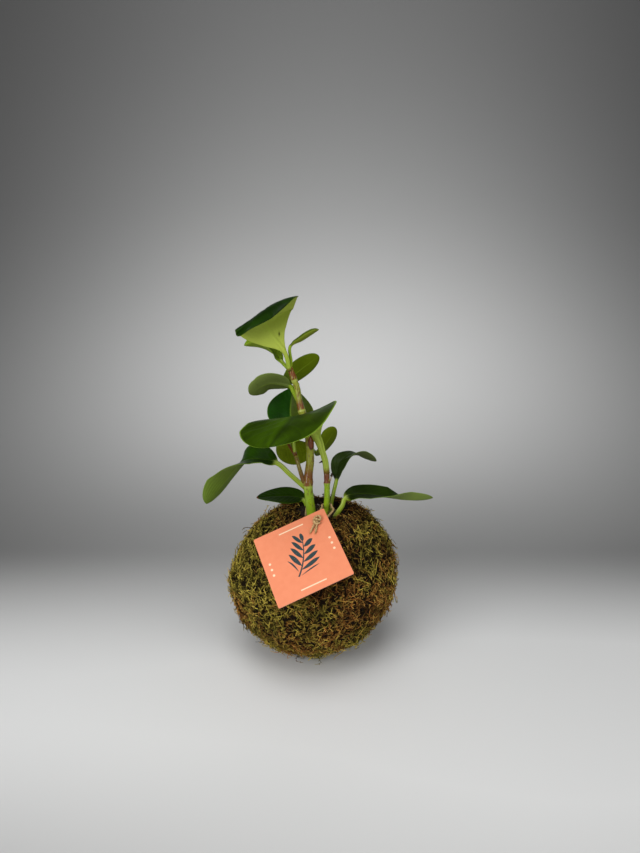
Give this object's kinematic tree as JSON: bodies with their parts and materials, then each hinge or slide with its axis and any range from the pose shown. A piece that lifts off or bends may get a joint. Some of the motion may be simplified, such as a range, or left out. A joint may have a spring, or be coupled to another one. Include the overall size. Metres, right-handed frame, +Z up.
{
  "type": "kokedama moss ball plant",
  "caption": "Moss-wrapped ball of soil that rests on a small flat spot, with a glossy round-leaved plant growing from its top and a square card tag tied on with twine.",
  "frame": {"origin": "centre of the flat spot under the moss ball, on the surface that it rests on", "axes": "+Z up along the plant; X across the side with the tag; the tag faces -Y"},
  "size_m": [0.1594, 0.1338, 0.253],
  "materials": {
    "soil": "dark crumbly soil",
    "moss": "matte curly moss, olive and brown",
    "stem": "smooth fleshy stem with red-brown nodes",
    "leaf": "glossy above, matte grey-green below",
    "card": "matte coloured card",
    "jute": "hairy twisted jute"
  },
  "bodies": {
    "root": {"soil_ball": "soil", "moss_wrap": "moss", "stem_main": "stem", "stem_second": "stem", "side_shoot": "stem", "leaf_top": "leaf", "leaf_young_left": "leaf", "leaf_young_right": "leaf", "leaf_round_right": "leaf", "leaf_round_left": "leaf", "leaf_back": "leaf", "leaf_front": "leaf", "leaf_small_right": "leaf", "leaf_behind_left": "leaf", "leaf_drooping_left": "leaf", "leaf_low_left": "leaf", "leaf_low_right": "leaf", "leaf_mid_right": "leaf", "tag": "card", "twine": "jute"}
  },
  "joints": []
}
